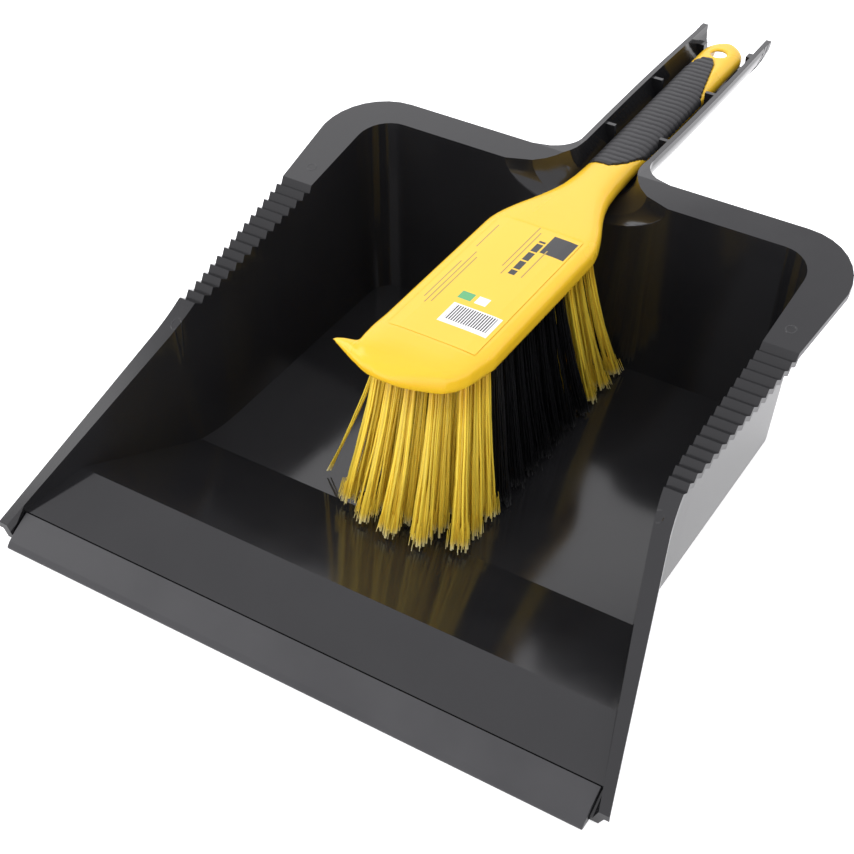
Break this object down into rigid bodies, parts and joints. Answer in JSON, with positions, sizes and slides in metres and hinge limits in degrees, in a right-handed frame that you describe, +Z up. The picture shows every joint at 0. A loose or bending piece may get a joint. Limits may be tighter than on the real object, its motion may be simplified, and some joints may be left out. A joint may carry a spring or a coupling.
{
  "type": "dust pan and brush set",
  "caption": "Wide black dust pan with a rubber lip, comb-toothed rim and trough handle, with a yellow hand brush lying in it; the brush lifts out.",
  "frame": {"origin": "middle of the bounding box at the floor", "axes": "+X to the right seen from the lip, +Y from the lip towards the handle, +Z up"},
  "size_m": [0.326, 0.4729, 0.1057],
  "materials": {
    "pan_plastic": "moulded gloss",
    "lip_rubber": "satin",
    "brush_plastic": "moulded gloss",
    "grip_rubber": "matte, finely ribbed",
    "label_film": "satin film",
    "yellow_bristle": "satin filaments",
    "black_bristle": "satin filaments"
  },
  "bodies": {
    "pan": {"pan_body": "pan_plastic", "rubber_lip": "lip_rubber"},
    "brush": {"brush_body": "brush_plastic", "rubber_grip": "grip_rubber", "label_film": "label_film", "yellow_tuft_01_1": "yellow_bristle", "yellow_tuft_01_2": "yellow_bristle", "yellow_tuft_01_3": "yellow_bristle", "yellow_tuft_01_4": "yellow_bristle", "yellow_tuft_01_5": "yellow_bristle", "yellow_tuft_02_1": "yellow_bristle", "yellow_tuft_02_2": "yellow_bristle", "yellow_tuft_02_3": "yellow_bristle", "yellow_tuft_02_4": "yellow_bristle", "yellow_tuft_02_5": "yellow_bristle", "yellow_tuft_03_1": "yellow_bristle", "yellow_tuft_03_2": "yellow_bristle", "yellow_tuft_03_3": "yellow_bristle", "yellow_tuft_03_4": "yellow_bristle", "yellow_tuft_03_5": "yellow_bristle", "yellow_tuft_11_1": "yellow_bristle", "yellow_tuft_11_2": "yellow_bristle", "yellow_tuft_11_3": "yellow_bristle", "yellow_tuft_11_4": "yellow_bristle", "yellow_tuft_11_5": "yellow_bristle", "yellow_tuft_12_1": "yellow_bristle", "yellow_tuft_12_2": "yellow_bristle", "yellow_tuft_12_3": "yellow_bristle", "yellow_tuft_12_4": "yellow_bristle", "yellow_tuft_12_5": "yellow_bristle", "yellow_tuft_13_1": "yellow_bristle", "yellow_tuft_13_2": "yellow_bristle", "yellow_tuft_13_3": "yellow_bristle", "yellow_tuft_13_4": "yellow_bristle", "yellow_tuft_13_5": "yellow_bristle", "black_tufts_04": "black_bristle", "black_tufts_05": "black_bristle", "black_tufts_06": "black_bristle", "black_tufts_07": "black_bristle", "black_tufts_08": "black_bristle", "black_tufts_09": "black_bristle", "black_tufts_10": "black_bristle"}
  },
  "joints": [
    {"name": "brush_lift", "type": "slide", "parent": "pan", "child": "brush", "axis": [0, 0, 1], "range_m": [0, 0.12]}
  ]
}
